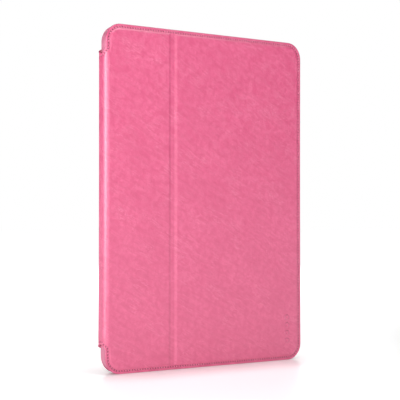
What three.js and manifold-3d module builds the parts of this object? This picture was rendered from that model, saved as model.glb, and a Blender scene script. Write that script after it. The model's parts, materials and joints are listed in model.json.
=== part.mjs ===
// A folio case for a 9.7-inch tablet: a stiffened imitation-leather cover wraps a plastic tray.
// Millimetres, +Z up. The closed case stands on its bottom edge: X runs across the width with the
// spine at -X, Y runs through the thickness with the front cover at -Y, and the origin is the
// middle of the bottom edge. Everything is at rest with the cover closed.
import * as THREE from 'three';
import { mergeVertices } from 'three/addons/utils/BufferGeometryUtils.js';
import Module from 'manifold-3d';

const wasm = await Module();
wasm.setup();

// ---- Driving dimensions ----
const HEIGHT = 247;
const WIDTH = 177;
const CORNER_RADIUS = 12.5;

// The layers, in order from the front face to the back face.
const LEATHER = 0.75;
const FRONT_BOARD = 1.05;
const LINING = 0.3;
const COVER_GAP = 0.2;
const LIP = 0.7;
const BAY_DEPTH = 6.15;
const SHELL_FLOOR = 1.0;
const TAPE = 0.1;
const BACK_BOARD = 0.4;

const HEM = 4.6; // the turned-in edge between the outline and the board
const LINING_INSET = 0.4;
const STITCH_INSET = 2.2; // outline to the middle of the stitch line
const THREAD_WIDTH = 0.5;
const THREAD_DEPTH = 0.3;

const FOLD_RADIUS = 4; // outer radius where the covers turn into the spine
const SPINE_END = 21; // the spine stops this far from the top and bottom edges
const NOTCH_START = 17.8; // where the covers' edges begin to slant towards the spine
const BACK_INSET = 3.4; // the back cover's left edge, in from the spine's outer face
const SPINE_BOARD = 0.6;

const CREASE_LEFT = 53; // the pressed fold line, measured from the spine's outer face
const CREASE_RIGHT = 61;
const CREASE_SINK = 0.35;

// The tablet that the tray holds, and the tray's walls.
const TABLET_HEIGHT = 240;
const TABLET_WIDTH = 169.5;
const TABLET_RADIUS = 10;
const TABLET_PLAY = 0.15;
const SHELL_WALL = 1.5;
const SHELL_TO_COVER_EDGE = 1.8;
const SHELL_BACK_ROUND = 1.2;
const LIP_REACH = 1.6;
const LIP_LENGTH = 34;
const NOTCH_DEPTH = 5.4; // how far the port and button notches cut down from the tray's rim

const CAMERA_FROM_EDGE = 11;
const CAMERA_RADIUS = 6.5;
const LEATHER_REVEAL = 0.5; // the cover's camera hole is this much wider than the tray's

const MAGNET_RADIUS = 5;
const MAGNET_THICKNESS = 0.9;
const MAGNET_PLAY = 0.3;
const MAGNET_FROM_EDGE = 13;

const CORNER_STEPS = 8;
const PAST = 2; // how far a cutting solid runs past the face that it cuts

// ---- Derived places ----
const THICKNESS = LEATHER + FRONT_BOARD + LINING + COVER_GAP + LIP + BAY_DEPTH
  + SHELL_FLOOR + TAPE + LINING + BACK_BOARD + LEATHER;
const LEFT = -WIDTH / 2;
const RIGHT = WIDTH / 2;
const BACK_LEFT = LEFT + BACK_INSET;
const FOLD_X = LEFT + FOLD_RADIUS;

const FRONT = -THICKNESS / 2;
const BACK = THICKNESS / 2;
const Y_FRONT_BOARD = FRONT + LEATHER;
const Y_FRONT_LINING = Y_FRONT_BOARD + FRONT_BOARD;
const Y_FRONT_INSIDE = Y_FRONT_LINING + LINING;
const Y_RIM = Y_FRONT_INSIDE + COVER_GAP;
const Y_BAY = Y_RIM + LIP;
const Y_SILL = Y_BAY + NOTCH_DEPTH;
const Y_FLOOR = Y_BAY + BAY_DEPTH;
const Y_TAPE = Y_FLOOR + SHELL_FLOOR;
const Y_BACK_LINING = Y_TAPE + TAPE;
const Y_BACK_BOARD = Y_BACK_LINING + LINING;
const Y_BACK_LEATHER = Y_BACK_BOARD + BACK_BOARD;

const BAY = {
  left: RIGHT - SHELL_TO_COVER_EDGE - SHELL_WALL - TABLET_WIDTH - 2 * TABLET_PLAY,
  right: RIGHT - SHELL_TO_COVER_EDGE - SHELL_WALL,
  bottom: (HEIGHT - TABLET_HEIGHT) / 2 - TABLET_PLAY,
  top: (HEIGHT + TABLET_HEIGHT) / 2 + TABLET_PLAY,
};
const CAMERA_X = BAY.right - CAMERA_FROM_EDGE;
const CAMERA_Z = BAY.top - CAMERA_FROM_EDGE;

// ---- Materials ----
function material(color, roughness, metalness = 0) {
  return () => new THREE.MeshStandardMaterial({ color, roughness, metalness });
}

const leather = material(0xe8709a, 0.45);
const lining = material(0xd98aa4, 0.95);
const board = material(0x8a8580, 0.9);
const shellPlastic = material(0xf0a9bf, 0.35);
const thread = material(0xec8caa, 0.8);
const magnetSteel = material(0xb8bcc0, 0.3, 0.9);
const tape = material(0xe6e2da, 0.6);

// ---- Outlines, drawn in X and Z ----

// A rectangle whose corners have radii in the order bottom-left, bottom-right, top-right, top-left.
function rectangle({ left, right, bottom, top }, [bl, br, tr, tl]) {
  const shape = new THREE.Shape();
  const corner = (x, z, radius, start) => {
    if (radius > 0) {
      shape.absarc(x, z, radius, start, start + Math.PI / 2, false);
    } else {
      shape.lineTo(x, z);
    }
  };
  shape.moveTo(left + bl, bottom);
  corner(right - br, bottom + br, br, -Math.PI / 2);
  corner(right - tr, top - tr, tr, 0);
  corner(left + tl, top - tl, tl, Math.PI / 2);
  corner(left + bl, bottom + bl, bl, Math.PI);
  shape.closePath();
  return shape;
}

function evenRadius(radius) {
  return [radius, radius, radius, radius];
}

// The points of a quarter circle, with both ends.
function quarter(x, z, radius, start) {
  return Array.from({ length: CORNER_STEPS + 1 }, (_, i) => {
    const angle = start + (Math.PI / 2) * (i / CORNER_STEPS);
    return new THREE.Vector2(x + radius * Math.cos(angle), z + radius * Math.sin(angle));
  });
}

// The flap's three free sides, moved in by an inset, from the crease's foot to its head.
function flapEdge(inset) {
  const radius = CORNER_RADIUS - inset;
  return [
    new THREE.Vector2(LEFT + CREASE_RIGHT, inset),
    ...quarter(RIGHT - CORNER_RADIUS, CORNER_RADIUS, radius, -Math.PI / 2),
    ...quarter(RIGHT - CORNER_RADIUS, HEIGHT - CORNER_RADIUS, radius, 0),
    new THREE.Vector2(LEFT + CREASE_RIGHT, HEIGHT - inset),
  ];
}

// The lower free edge of a panel, from a point on the bottom edge round the left corner to the notch.
function lowerLeftEdge(fromX, left, inset) {
  return [
    new THREE.Vector2(fromX, inset),
    ...quarter(left + CORNER_RADIUS, CORNER_RADIUS, CORNER_RADIUS - inset, Math.PI).reverse(),
    new THREE.Vector2(left + inset, NOTCH_START),
  ];
}

function mirrored(points) {
  return points.map((p) => new THREE.Vector2(p.x, HEIGHT - p.y)).reverse();
}

function stripEdge(inset) {
  return lowerLeftEdge(LEFT + CREASE_LEFT, LEFT, inset);
}

function backEdge(inset) {
  const lower = lowerLeftEdge(RIGHT - CORNER_RADIUS, BACK_LEFT, inset).reverse();
  const radius = CORNER_RADIUS - inset;
  return [
    ...lower,
    ...quarter(RIGHT - CORNER_RADIUS, CORNER_RADIUS, radius, -Math.PI / 2).slice(1),
    ...quarter(RIGHT - CORNER_RADIUS, HEIGHT - CORNER_RADIUS, radius, 0),
    ...mirrored(lower).slice(1),
  ];
}

// The band that a line of stitching fills, along one of the edges above.
function stitchBand(edge) {
  const near = edge(STITCH_INSET - THREAD_WIDTH / 2);
  const far = edge(STITCH_INSET + THREAD_WIDTH / 2);
  return new THREE.Shape([...near, ...far.reverse()]);
}

// The panels' outlines. Both left-hand ones step in to the fold between their notches.
function stripOutline(inset) {
  const lower = lowerLeftEdge(LEFT + CREASE_LEFT, LEFT, inset);
  const foldStart = new THREE.Vector2(FOLD_X, SPINE_END);
  return new THREE.Shape([...lower, foldStart, ...mirrored([...lower, foldStart])]);
}

function flapOutline(inset) {
  return new THREE.Shape(flapEdge(inset));
}

function backOutline(inset) {
  const lower = new THREE.Vector2(FOLD_X, SPINE_END);
  const upper = new THREE.Vector2(FOLD_X, HEIGHT - SPINE_END);
  return new THREE.Shape([lower, ...backEdge(inset), upper]);
}

// ---- Solids ----

// An outline given thickness, from one Y to a greater one.
function plate(outline, yNear, yFar) {
  const geometry = new THREE.ExtrudeGeometry(outline, {
    depth: yFar - yNear,
    bevelEnabled: false,
    curveSegments: CORNER_STEPS,
  });
  return geometry.rotateX(Math.PI / 2).translate(0, yFar, 0);
}

function block([x0, x1], [y0, y1], [z0, z1]) {
  const geometry = new THREE.BoxGeometry(x1 - x0, y1 - y0, z1 - z0);
  return geometry.translate((x0 + x1) / 2, (y0 + y1) / 2, (z0 + z1) / 2);
}

function disc(x, z, radius, yNear, yFar) {
  const circle = new THREE.Shape();
  circle.absarc(x, z, radius, 0, 2 * Math.PI, false);
  return plate(circle, yNear, yFar);
}

function toManifold(geometry) {
  const bare = geometry.clone();
  bare.deleteAttribute('normal');
  bare.deleteAttribute('uv');
  const merged = mergeVertices(bare);
  return new wasm.Manifold(new wasm.Mesh({
    numProp: 3,
    vertProperties: Float32Array.from(merged.attributes.position.array),
    triVerts: Uint32Array.from(merged.index.array),
  }));
}

function toGeometry(solid) {
  const mesh = solid.getMesh();
  const result = new THREE.BufferGeometry();
  result.setAttribute('position', new THREE.BufferAttribute(Float32Array.from(mesh.vertProperties), 3));
  result.setIndex(new THREE.BufferAttribute(Uint32Array.from(mesh.triVerts), 1));
  result.computeVertexNormals();
  return result;
}

function cut(geometry, ...cutters) {
  return toGeometry(cutters.reduce((rest, cutter) => rest.subtract(toManifold(cutter)), toManifold(geometry)));
}

// The separate bodies of a geometry, in order of the X of their middles.
function separate(geometry) {
  const middleX = (solid) => (solid.boundingBox().min[0] + solid.boundingBox().max[0]) / 2;
  return toManifold(geometry).decompose().sort((a, b) => middleX(a) - middleX(b)).map(toGeometry);
}

function piece(name, makeMaterial, geometry) {
  const mesh = new THREE.Mesh(geometry, makeMaterial());
  mesh.name = name;
  return mesh;
}

// A quarter-round web between a cover and the spine; side is -1 at the front fold and 1 at the back.
function foldWeb(side, outerRadius, thickness) {
  const y = side < 0 ? FRONT + FOLD_RADIUS : BACK - FOLD_RADIUS;
  const start = side < 0 ? Math.PI : Math.PI / 2;
  const end = start + Math.PI / 2;
  const section = new THREE.Shape();
  section.absarc(FOLD_X, y, outerRadius, start, end, false);
  section.absarc(FOLD_X, y, outerRadius - thickness, end, start, true);
  section.closePath();
  const geometry = new THREE.ExtrudeGeometry(section, {
    depth: HEIGHT - 2 * SPINE_END,
    bevelEnabled: false,
    curveSegments: CORNER_STEPS,
  });
  return geometry.translate(0, 0, SPINE_END);
}

// ---- Boards: stiffeners that stop short of the stitched edges ----
const boardRadius = CORNER_RADIUS - HEM;
const flapBoardArea = {
  left: LEFT + CREASE_RIGHT, right: RIGHT - HEM, bottom: HEM, top: HEIGHT - HEM,
};
const flapBoardRadii = [0, boardRadius, boardRadius, 0];
const stripBoardArea = {
  left: FOLD_X + 1, right: LEFT + CREASE_LEFT, bottom: HEM, top: HEIGHT - HEM,
};
const stripBoardRadii = [boardRadius, 0, 0, boardRadius];
const backBoardArea = {
  left: BACK_LEFT + HEM, right: RIGHT - HEM, bottom: HEM, top: HEIGHT - HEM,
};
const magnetX = RIGHT - MAGNET_FROM_EDGE;
const magnetPlaces = {
  closure_magnet_lower: HEIGHT / 6,
  sleep_magnet: HEIGHT / 2,
  closure_magnet_upper: HEIGHT * 5 / 6,
};
const magnetNear = Y_FRONT_LINING - MAGNET_THICKNESS;

function frontFlap() {
  const group = new THREE.Group();
  const boardShape = rectangle(flapBoardArea, flapBoardRadii);
  const pocketShape = rectangle({ ...flapBoardArea, left: LEFT + CREASE_RIGHT - PAST }, flapBoardRadii);
  const stitches = plate(stitchBand(flapEdge), FRONT, FRONT + THREAD_DEPTH);
  const stitchGroove = plate(stitchBand(flapEdge), FRONT - PAST, FRONT + THREAD_DEPTH);
  const magnetPockets = Object.values(magnetPlaces).map((z) => (
    disc(magnetX, z, MAGNET_RADIUS + MAGNET_PLAY, magnetNear, Y_FRONT_LINING + PAST)
  ));
  group.add(
    piece('flap_leather', leather, cut(
      plate(flapOutline(0), FRONT, Y_FRONT_LINING),
      plate(pocketShape, Y_FRONT_BOARD, Y_FRONT_LINING + PAST),
      stitchGroove,
    )),
    piece('flap_board', board, cut(plate(boardShape, Y_FRONT_BOARD, Y_FRONT_LINING), ...magnetPockets)),
    piece('flap_lining', lining, plate(flapOutline(LINING_INSET), Y_FRONT_LINING, Y_FRONT_INSIDE)),
    piece('flap_thread', thread, stitches),
  );
  for (const [name, z] of Object.entries(magnetPlaces)) {
    group.add(piece(name, magnetSteel, disc(magnetX, z, MAGNET_RADIUS, magnetNear, Y_FRONT_LINING)));
  }
  return group;
}

function frontStrip() {
  const group = new THREE.Group();
  const boardShape = rectangle(stripBoardArea, stripBoardRadii);
  const pocketShape = rectangle({ ...stripBoardArea, right: LEFT + CREASE_LEFT + PAST }, stripBoardRadii);
  const lowerBand = stitchBand(stripEdge);
  const upperBand = stitchBand((inset) => mirrored(stripEdge(inset)));
  group.add(
    piece('strip_leather', leather, cut(
      plate(stripOutline(0), FRONT, Y_FRONT_LINING),
      plate(pocketShape, Y_FRONT_BOARD, Y_FRONT_LINING + PAST),
      plate(lowerBand, FRONT - PAST, FRONT + THREAD_DEPTH),
      plate(upperBand, FRONT - PAST, FRONT + THREAD_DEPTH),
    )),
    piece('strip_board', board, plate(boardShape, Y_FRONT_BOARD, Y_FRONT_LINING)),
    piece('strip_lining', lining, plate(stripOutline(LINING_INSET), Y_FRONT_LINING, Y_FRONT_INSIDE)),
    piece('strip_thread_lower', thread, plate(lowerBand, FRONT, FRONT + THREAD_DEPTH)),
    piece('strip_thread_upper', thread, plate(upperBand, FRONT, FRONT + THREAD_DEPTH)),
  );
  return group;
}

// The pressed fold line between the strip and the flap, where the cover has no board.
function creaseWeb() {
  const group = new THREE.Group();
  const x = [LEFT + CREASE_LEFT, LEFT + CREASE_RIGHT];
  const yLeather = FRONT + CREASE_SINK;
  const yLining = yLeather + LEATHER;
  group.add(
    piece('crease_leather', leather, block(x, [yLeather, yLining], [0, HEIGHT])),
    piece('crease_lining', lining, block(x, [yLining, yLining + LINING], [LINING_INSET, HEIGHT - LINING_INSET])),
  );
  return group;
}

function spine() {
  const group = new THREE.Group();
  const y = [FRONT + FOLD_RADIUS, BACK - FOLD_RADIUS];
  const z = [SPINE_END, HEIGHT - SPINE_END];
  const boardZ = [SPINE_END + HEM, HEIGHT - SPINE_END - HEM];
  const xBoard = LEFT + LEATHER;
  const xLining = xBoard + SPINE_BOARD;
  group.add(
    piece('spine_leather', leather, cut(
      block([LEFT, xLining], y, z),
      block([xBoard, xLining + PAST], [y[0] - PAST, y[1] + PAST], boardZ),
    )),
    piece('spine_stiffener', board, block([xBoard, xLining], y, boardZ)),
    piece('spine_lining', lining, block([xLining, xLining + LINING], y, z)),
  );
  return group;
}

function foldWebs() {
  const group = new THREE.Group();
  for (const [name, side] of [['front_fold', -1], ['back_fold', 1]]) {
    group.add(
      piece(`${name}_leather`, leather, foldWeb(side, FOLD_RADIUS, LEATHER)),
      piece(`${name}_lining`, lining, foldWeb(side, FOLD_RADIUS - LEATHER, LINING)),
    );
  }
  return group;
}

function backCover() {
  const group = new THREE.Group();
  const boardShape = rectangle(backBoardArea, evenRadius(boardRadius));
  const band = stitchBand(backEdge);
  const cameraCut = (radius) => disc(CAMERA_X, CAMERA_Z, radius, Y_FLOOR - PAST, BACK + PAST);
  const coverHole = CAMERA_RADIUS + LEATHER_REVEAL;
  const liningShape = rectangle(
    { left: FOLD_X, right: RIGHT - LINING_INSET, bottom: LINING_INSET, top: HEIGHT - LINING_INSET },
    evenRadius(CORNER_RADIUS - LINING_INSET),
  );
  const tapeShape = rectangle(
    { left: BAY.left + HEM, right: BAY.right - HEM, bottom: BAY.bottom + HEM, top: BAY.top - HEM },
    evenRadius(boardRadius),
  );
  group.add(
    piece('back_leather', leather, cut(
      plate(backOutline(0), Y_BACK_BOARD, BACK),
      plate(boardShape, Y_BACK_BOARD - PAST, Y_BACK_LEATHER),
      plate(band, BACK - THREAD_DEPTH, BACK + PAST),
      cameraCut(coverHole),
    )),
    piece('back_board', board, cut(plate(boardShape, Y_BACK_BOARD, Y_BACK_LEATHER), cameraCut(coverHole))),
    piece('back_lining', lining, cut(plate(liningShape, Y_BACK_LINING, Y_BACK_BOARD), cameraCut(coverHole))),
    piece('back_thread', thread, plate(band, BACK - THREAD_DEPTH, BACK)),
    piece('shell_tape', tape, cut(plate(tapeShape, Y_TAPE, Y_BACK_LINING), cameraCut(coverHole))),
  );
  return group;
}

// The notches in the tray's walls for the tablet's ports and buttons: which wall, where along it
// and how long.
const wallNotches = [
  { wall: 'bottom', at: 0, length: 18 }, // charging port
  { wall: 'bottom', at: -38, length: 30 }, // left speaker
  { wall: 'bottom', at: 38, length: 30 }, // right speaker
  { wall: 'top', at: -68, length: 11 }, // headphone socket
  { wall: 'top', at: 62, length: 18 }, // power button
  { wall: 'right', at: 201, length: 36 }, // volume buttons
];

function notchCutter({ wall, at, length }) {
  const along = [at - length / 2, at + length / 2];
  const y = [Y_RIM - PAST, Y_SILL];
  if (wall === 'right') {
    return block([BAY.right - PAST, BAY.right + SHELL_WALL + PAST], y, along);
  }
  const z = wall === 'top' ? [BAY.top - PAST, BAY.top + SHELL_WALL + PAST]
    : [BAY.bottom - SHELL_WALL - PAST, BAY.bottom + PAST];
  return block(along, y, z);
}

// The walls' names, in order of the X of their middles.
const WALL_NAMES = [
  'shell_wall_left', 'shell_wall_lower_left', 'shell_wall_top',
  'shell_wall_lower_right', 'shell_wall_right', 'shell_wall_upper_right',
];

// The plastic tray: a shallow pan, and the walls that the port and button notches leave standing on
// its edge. The walls end level with the tablet's face, and only the lips at the four corners stand
// higher and reach over the tablet's edge.
function tabletShell() {
  const group = new THREE.Group();
  const outer = {
    left: BAY.left - SHELL_WALL,
    right: BAY.right + SHELL_WALL,
    bottom: BAY.bottom - SHELL_WALL,
    top: BAY.top + SHELL_WALL,
  };
  const aperture = {
    left: BAY.left + LIP_REACH,
    right: BAY.right - LIP_REACH,
    bottom: BAY.bottom + LIP_REACH,
    top: BAY.top - LIP_REACH,
  };
  const yStart = Y_RIM - SHELL_BACK_ROUND - PAST;
  const rounded = new THREE.ExtrudeGeometry(
    rectangle(outer, evenRadius(TABLET_RADIUS + SHELL_WALL)),
    {
      depth: Y_TAPE - yStart - 2 * SHELL_BACK_ROUND,
      bevelThickness: SHELL_BACK_ROUND,
      bevelSize: SHELL_BACK_ROUND,
      bevelOffset: -SHELL_BACK_ROUND,
      bevelSegments: 3,
      curveSegments: CORNER_STEPS,
    },
  ).rotateX(Math.PI / 2).translate(0, Y_TAPE - SHELL_BACK_ROUND, 0);
  const pastX = [outer.left - PAST, outer.right + PAST];
  const pastZ = [outer.bottom - PAST, outer.top + PAST];
  const betweenLipsX = [outer.left + LIP_LENGTH, outer.right - LIP_LENGTH];
  const betweenLipsZ = [outer.bottom + LIP_LENGTH, outer.top - LIP_LENGTH];
  const lips = [Y_RIM - PAST, Y_BAY];
  const bay = rectangle(BAY, evenRadius(TABLET_RADIUS));
  group.add(piece('shell_pan', shellPlastic, cut(
    rounded,
    block(pastX, [yStart - PAST, Y_SILL], pastZ),
    plate(bay, Y_BAY, Y_FLOOR),
    disc(CAMERA_X, CAMERA_Z, CAMERA_RADIUS, Y_BAY, BACK + PAST),
  )));
  const walls = separate(cut(
    rounded,
    block(pastX, [Y_SILL, Y_TAPE + PAST], pastZ),
    block(pastX, [yStart - PAST, Y_RIM], pastZ),
    plate(bay, Y_BAY, Y_FLOOR),
    plate(rectangle(aperture, evenRadius(TABLET_RADIUS - LIP_REACH)), Y_RIM - PAST, Y_FLOOR),
    block(betweenLipsX, lips, pastZ),
    block(pastX, lips, betweenLipsZ),
    ...wallNotches.map(notchCutter),
  ));
  walls.forEach((wall, i) => group.add(piece(WALL_NAMES[i], shellPlastic, wall)));
  return group;
}

const tabletCase = new THREE.Group();
tabletCase.add(frontFlap(), creaseWeb(), frontStrip(), foldWebs(), spine(), backCover(), tabletShell());

export default tabletCase;
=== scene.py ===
"""A folio case for a 9.7-inch tablet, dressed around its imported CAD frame.

Lengths are worked out in millimetres and become metres where a mesh is made. Each half of the
leather cover is one unrolled sheet: s runs across it from the spine, z up it, and a depth is
measured into the case from the sheet's outer face. The front sheet wraps the front fold and half
of the spine, and the back sheet wraps the back fold and the other half.
"""
import json
import math
from types import SimpleNamespace

import bmesh
import bpy
import numpy as np
from mathutils import Matrix, Vector
from mathutils.geometry import delaunay_2d_cdt

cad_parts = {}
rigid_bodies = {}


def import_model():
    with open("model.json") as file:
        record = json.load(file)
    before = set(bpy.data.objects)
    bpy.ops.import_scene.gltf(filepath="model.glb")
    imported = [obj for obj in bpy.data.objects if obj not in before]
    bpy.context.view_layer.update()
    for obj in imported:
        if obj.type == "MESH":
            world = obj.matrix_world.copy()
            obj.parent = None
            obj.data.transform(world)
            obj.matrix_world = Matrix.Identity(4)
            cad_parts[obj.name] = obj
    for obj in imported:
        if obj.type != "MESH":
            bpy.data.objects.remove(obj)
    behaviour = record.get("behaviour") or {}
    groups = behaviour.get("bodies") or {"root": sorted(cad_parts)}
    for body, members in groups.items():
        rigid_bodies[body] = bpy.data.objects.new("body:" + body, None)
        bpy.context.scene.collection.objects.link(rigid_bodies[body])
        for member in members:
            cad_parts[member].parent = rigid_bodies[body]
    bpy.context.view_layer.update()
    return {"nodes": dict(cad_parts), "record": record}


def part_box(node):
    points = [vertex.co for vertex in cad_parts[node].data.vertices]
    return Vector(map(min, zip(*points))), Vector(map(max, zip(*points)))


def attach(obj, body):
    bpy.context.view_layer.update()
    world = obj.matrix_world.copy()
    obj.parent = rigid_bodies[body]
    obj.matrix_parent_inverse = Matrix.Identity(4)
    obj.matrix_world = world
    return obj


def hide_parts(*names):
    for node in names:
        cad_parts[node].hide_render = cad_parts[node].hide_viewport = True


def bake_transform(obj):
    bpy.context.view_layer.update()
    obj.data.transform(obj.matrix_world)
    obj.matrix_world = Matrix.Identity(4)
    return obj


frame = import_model()
bpy.context.scene.view_settings.view_transform = "Standard"

MM = 1000.0


def box_mm(node):
    low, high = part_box(node)
    return np.array(low) * MM, np.array(high) * MM


# ---- Dimensions from the frame ----
spine_low, spine_high = box_mm("spine_leather")
flap_low, flap_high = box_mm("flap_leather")
back_low, back_high = box_mm("back_leather")
crease_low, crease_high = box_mm("crease_leather")
fold_low, fold_high = box_mm("front_fold_leather")
LEFT = spine_low[0]
FRONT = flap_low[1]
BACK = back_high[1]
WIDTH = flap_high[0] - LEFT
HEIGHT = flap_high[2]
FOLD_RADIUS = fold_high[0] - fold_low[0]
SPINE_END = spine_low[2]
CREASE_START = crease_low[0] - LEFT
CREASE_END = crease_high[0] - LEFT

MIDDLE_Z = HEIGHT / 2

LEATHER = 0.75
LINING = 0.3
CORNER = 12.5  # radius of the covers' corners
NOTCH_START = 17.8  # height where a cover's straight left edge ends and the notch's slant starts
SPINE_HEM = 1.35  # depth of the turned-in leather at the spine's ends
HEM_WIDTH = 4.6
SPINE_SINK = 0.1  # how far the stitched border lies under the rest of the leather
CHANNEL_DEPTH, CHANNEL_HALF = 0.1, 0.45  # the groove that the stitches pull into the leather
WAVE_DEPTH = 0.035
BEVEL_START = 2.7  # where the leather rises from the stitched border to the board
BEVEL_END = 4.5
CREASE_SINK = 0.6
CREASE_LEFT = (52.8, 55.6)  # where the pressed line's left wall starts and ends
CREASE_RIGHT = (57.8, 61.0)
ARC_END = FOLD_RADIUS * (1 - math.pi / 2)  # s where the fold becomes the flat of the spine
SPINE_MIDDLE = ARC_END - (BACK - FRONT - 2 * FOLD_RADIUS) / 2
SLANT_END = -3.2  # s where the notch's slanted edge meets the spine's end
WAIST = 0.35  # how far each long side curves in at mid-height
TAB_FLAT = 16.2  # below this height the covers' left edges lie flat
FOLD_FULL = 22.5  # above this one they have turned fully into the fold
EDGE_ROUND = 0.7  # width of the rounded edge of a layer, and below, of the lining and the hole
LINING_ROUND = 0.35
HOLE_ROUND = 0.3
STITCH_INSET = 2.2
STITCH_PITCH = 2.15
STITCH_LENGTH = 1.6
STITCH_SLANT = 0.16
STITCH_BOW = 0.13  # how far a stitch's middle stands off the face
STITCH_DIVE = 0.3  # how far its ends go into their holes
THREAD_HALF_WIDTH = 0.25
THREAD_HALF_DEPTH = 0.17
THREAD_SIDES = 8

RINGS = [
    0, 0.08, 0.22, 0.4, 0.65, 0.95, 1.3, 1.65, 1.95, 2.2, 2.45, 2.75, 3.1, 3.5, 3.9, 4.3, 4.6,
    5.1, 5.5, 6.0, 7.2, 9.5, CORNER,
]
LOWER_HEIGHTS = [CORNER, 14.2, 15.6, 16.8]
LINING_INSET = 0.65
CORNER_STEPS = 12
FOLD_GRID = 0.35  # the grid's spacing across the folds, at the pressed line and elsewhere
CREASE_GRID = 0.45
COVER_GRID = 4.4
HEIGHT_GRID = 4.6

CAMERA_HOLE_RADIUS = 7.0
HOLE_CLEARANCE = 1.6
HOLE_STEPS = 48
HOLE_RINGS = (0, 0.1, 0.25, 0.5, 0.95)
FAR = 99.0  # mm: the distance to a hole where a sheet has none
BACK_PATTERN_SHIFT = WIDTH + 20  # so that the two sheets show different parts of the leather
INSIDE_PATTERN_SHIFT = 3

FRONT_SHEET = SimpleNamespace(
    name="front", free_left=0.7, sink=0.5, hem=1.8, outer_drop=0.55, inner_drop=0.45, crease=True,
)
BACK_SHEET = SimpleNamespace(
    name="back", free_left=back_low[0] - LEFT, sink=0.25, hem=1.15, outer_drop=0.38,
    inner_drop=0.32, crease=False,
)

# The generic mark: a row of small raised lozenges near the flap's free edge
MARK_COUNT = 4
MARK_START = 15.0
MARK_PITCH = 6.0
MARK_MIDDLE = WIDTH - 14.5
MARK_HALF = (2.5, 2.3)
MARK_SIDES = 24
MARK_POINTED = 1.3  # 1 would make an oval and 2 a diamond
MARK_RINGS = (  # share of the lozenge's half size, rise above the face, distance to its rim (small on the outer rings, which paints shade round the dome)
    (1.0, -0.08, 0.05), (0.98, 0.06, 0.05), (0.84, 0.32, 0.15), (0.66, 0.36, 0.3), (0.4, 0.24, 9.0),
    (0.12, 0.18, 9.0),
)
CLEAR_OF_EDGE = 9.0

EASE_WIDTH = 0.00025  # metres
EASE_ANGLE = math.radians(40)
WELD_DISTANCE = 2e-6  # metres
FLAT_ANGLE = math.radians(1)

# The stage, in metres and degrees
FLOOR_REACH = 12.0
FLOOR_GREY = (0.94, 0.94, 0.94, 1)
WHITE = (1, 1, 1, 1)
CASE_MIDDLE = (0.0, 0.0, 0.12)
LIGHTS = (  # name, radiance, width and height, and place: degrees round the case, distance, height
    ("panel_left", 1.8, (1.4, 0.32), (82, 1.2, 0.3)),
    ("strip_left", 11.5, (0.22, 0.42), (72, 1.1, 0.28)),
    ("panel_above", 4.0, (0.85, 0.75), (-26, 1.2, 1.5)),
    ("panel_low", 2.8, (0.3, 0.5), (4, 1.6, 0.32)),
    ("panel_near", 4.0, (0.22, 0.3), (48, 0.5, 0.25)),
    ("panel_back", 2.2, (1.2, 1.0), (-150, 1.7, 0.8)),
)
ROOM_BRIGHT_WAY = (0.05, -0.83, 0.55)
ROOM_SPREAD = (0.68, 1.0)  # how near to that direction the room starts to brighten, and is brightest
ROOM_LEVELS = (0.06, 0.34)
CAMERA_LENS = 102.33
CAMERA_PLACE = (-0.4823, -0.69695, 0.1068)
CAMERA_TURN = (34.47, 1.115, 0.03)  # yaw, pitch and roll


def smooth(start, end, value):
    """0 before start, 1 after end, and a smooth step between them."""
    t = np.clip((value - start) / (end - start), 0, 1)
    return t * t * (3 - 2 * t)


def mix(a, b, share):
    return a + (b - a) * share


# ---- From the unrolled sheet to the row frame ----
def place(sheet, s, z, depth):
    """Row-frame positions, in mm, of points at a depth under the unrolled sheet."""
    angle = np.clip((FOLD_RADIUS - s) / FOLD_RADIUS, 0, math.pi / 2)
    past_arc = np.maximum(ARC_END - s, 0)
    on_flat = s >= FOLD_RADIUS
    fold_x = np.where(on_flat, s, FOLD_RADIUS - (FOLD_RADIUS - depth) * np.sin(angle))
    fold_y = np.where(on_flat, depth, FOLD_RADIUS - (FOLD_RADIUS - depth) * np.cos(angle) + past_arc)
    from_end = np.minimum(z, HEIGHT - z)
    full = mix(FOLD_FULL, SPINE_END, smooth(FOLD_RADIUS, SLANT_END, s))
    folded = smooth(TAB_FLAT, full, from_end)
    x = LEFT + mix(np.maximum(s, 0), fold_x, folded)
    y = mix(depth, fold_y, folded)
    x = x * (1 - WAIST / (WIDTH / 2) * (1 - (2 * z / HEIGHT - 1) ** 2))
    y = FRONT + y if sheet.name == "front" else BACK - y
    return np.stack([x, y, z + 0 * x], axis=-1)


def free_outline(sheet, inset=0.0):
    """The sheet's free edge, moved in by an inset, from mid-spine down, round and back to mid-spine."""
    left, right = sheet.free_left, WIDTH
    notch = np.array([[SLANT_END, SPINE_END], [left, NOTCH_START]])
    slope = notch[1] - notch[0]
    tilt = math.atan2(slope[0], -slope[1])
    points = [[SPINE_MIDDLE, SPINE_END + inset]]
    for centre, start, end in ((notch[0], math.pi / 2, tilt), (notch[1], tilt, 0)):
        for angle in np.linspace(start, end, 6):
            points.append(centre + inset * np.array([math.cos(angle), math.sin(angle)]))
    corners = ((left + CORNER, CORNER, math.pi), (right - CORNER, CORNER, 1.5 * math.pi))
    for x, z, start in corners:
        for angle in np.linspace(start, start + math.pi / 2, 25):
            reach = CORNER - inset
            points.append([x + reach * math.cos(angle), z + reach * math.sin(angle)])
    lower = np.array(points)
    upper = lower[::-1] * [1, -1] + [0, HEIGHT]
    path = np.concatenate([lower, upper])
    keep = np.append(True, np.linalg.norm(np.diff(path, axis=0), axis=1) > 1e-6)
    return path[keep]


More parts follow.
